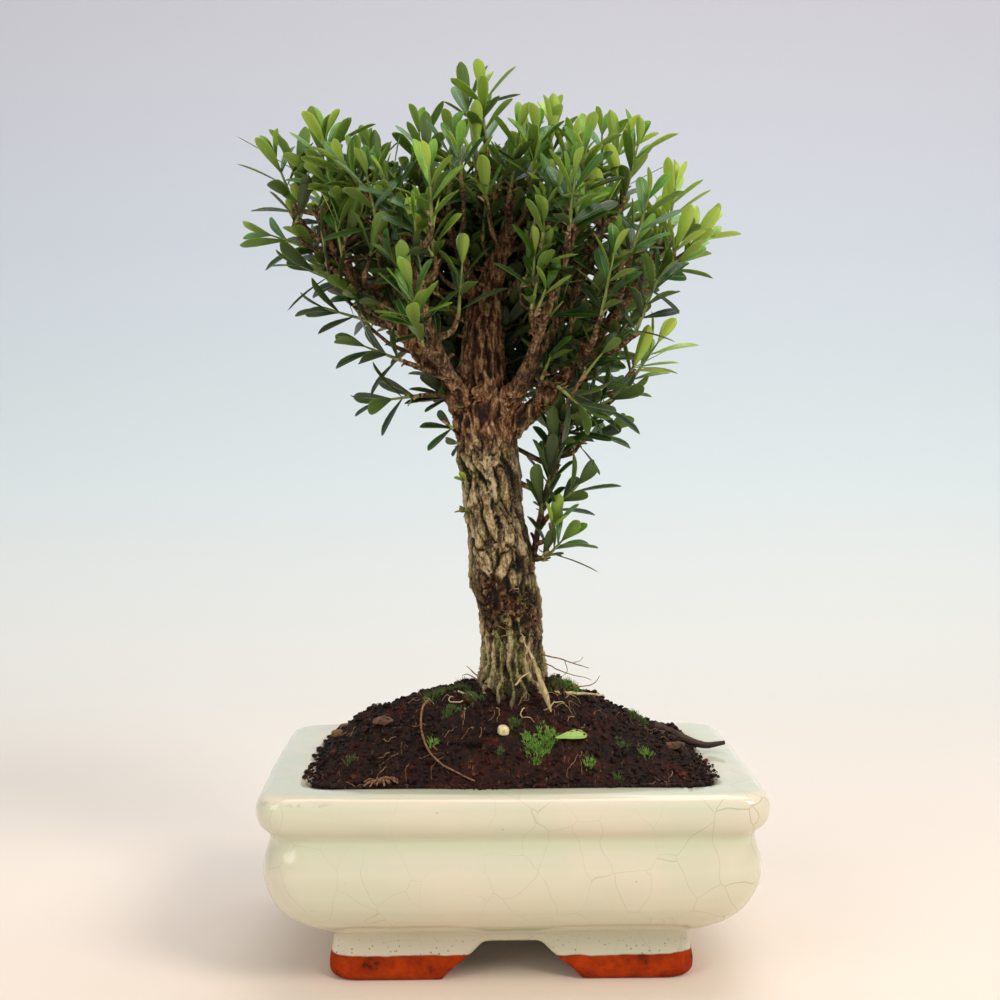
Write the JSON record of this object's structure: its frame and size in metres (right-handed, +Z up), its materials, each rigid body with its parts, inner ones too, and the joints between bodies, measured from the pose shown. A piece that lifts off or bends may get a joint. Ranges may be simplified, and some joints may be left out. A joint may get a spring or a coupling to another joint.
{
  "type": "harland boxwood bonsai",
  "caption": "Small boxwood bonsai with a ridged trunk and a dense crown of spoon-shaped leaves, in a soil-filled glazed rectangular pot on a cut-out foot.",
  "frame": {"origin": "On the table under the middle of the part's box, so the pot's own middle lies 5.2 mm to +X and 3.2 mm to -Y of it.", "axes": "+Z up, -Y to the front that the picture shows, +X to the viewer's right, along the pot's long side."},
  "size_m": [0.1704, 0.1164, 0.2993],
  "materials": {
    "celadon_glaze": "gloss",
    "screen_plastic": "matte",
    "peat": "matte",
    "boxwood_bark": "matte",
    "leaf_young": "satin",
    "leaf_mid": "satin",
    "leaf_old": "satin",
    "pebble": "matte",
    "dead_wood": "matte",
    "pale_root": "matte",
    "fertiliser": "matte"
  },
  "bodies": {
    "root": {"pot": "celadon_glaze", "drain_screen_left": "screen_plastic", "drain_screen_right": "screen_plastic", "soil": "peat", "trunk_and_branches": "boxwood_bark", "shoot_far_left": "leaf_mid", "shoot_far_left_low": "leaf_mid", "shoot_left_high": "leaf_young", "shoot_left_low": "leaf_old", "shoot_left_lower": "leaf_old", "shoot_left_lowest": "leaf_old", "shoot_left_tuft": "leaf_mid", "shoot_crown_left": "leaf_mid", "shoot_crown_left_front": "leaf_mid", "shoot_apex": "leaf_young", "shoot_apex_right": "leaf_mid", "shoot_crown_middle_front": "leaf_mid", "shoot_crown_right": "leaf_young", "shoot_crown_right_front": "leaf_mid", "shoot_crown_right_outer": "leaf_mid", "shoot_right_shoulder": "leaf_mid", "shoot_right_bright": "leaf_young", "shoot_right_bright_outer": "leaf_young", "shoot_right_middle": "leaf_mid", "shoot_right_low_bright": "leaf_young", "shoot_right_low": "leaf_old", "shoot_right_lower": "leaf_old", "shoot_side_shoot_middle": "leaf_old", "shoot_side_shoot_foot": "leaf_mid", "shoot_front_left_bright": "leaf_young", "shoot_front_left_high": "leaf_mid", "shoot_front_left_inner": "leaf_mid", "shoot_front_right_inner": "leaf_mid", "shoot_front_right": "leaf_mid", "shoot_front_right_outer": "leaf_old", "shoot_left_under": "leaf_old", "shoot_right_under": "leaf_old", "shoot_front_left_top": "leaf_mid", "shoot_front_middle_top": "leaf_young", "shoot_front_right_top": "leaf_mid", "shoot_front_right_side": "leaf_mid", "shoot_back_left": "leaf_mid", "shoot_back_left_top": "leaf_mid", "shoot_back_middle_top": "leaf_young", "shoot_back_right_top": "leaf_mid", "shoot_back_right": "leaf_young", "shoot_back_left_low": "leaf_old", "shoot_back_middle_low": "leaf_old", "shoot_back_right_low": "leaf_old", "shoot_inner_left": "leaf_mid", "shoot_inner_right": "leaf_mid", "pebble": "pebble", "fallen_leaf": "leaf_young", "bark_chip_left": "dead_wood", "bark_chip_right": "dead_wood", "broken_root": "pale_root", "rim_twig": "dead_wood", "pellet_back": "fertiliser", "pellet_left": "fertiliser"}
  },
  "joints": []
}
